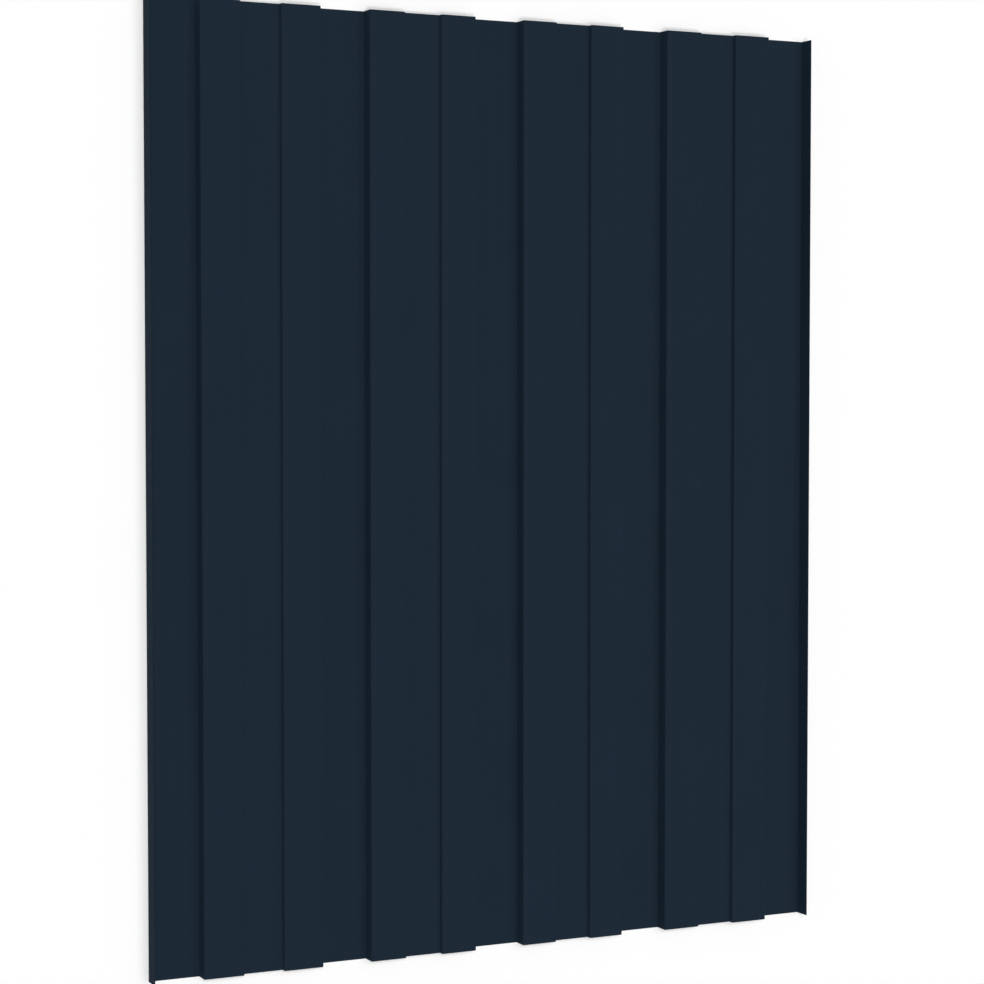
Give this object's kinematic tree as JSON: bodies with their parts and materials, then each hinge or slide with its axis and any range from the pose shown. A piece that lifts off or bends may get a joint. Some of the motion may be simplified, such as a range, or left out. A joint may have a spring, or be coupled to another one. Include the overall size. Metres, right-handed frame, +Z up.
{
  "type": "corrugated metal sheet",
  "caption": "Flat-lying corrugated steel sheet with wide box ribs, a shallow groove in each crown, narrow valleys and an upturned lip along each edge, for cladding roofs and walls.",
  "frame": {"origin": "centre of the sheet at the underside of its valleys, on which it lies", "axes": "+X across the ribs, +Y along the ribs, +Z up out of the weather face"},
  "size_m": [0.4692, 0.6, 0.0122],
  "materials": {
    "coated_steel": "satin"
  },
  "bodies": {
    "root": {"corrugated_sheet": "coated_steel"}
  },
  "joints": []
}
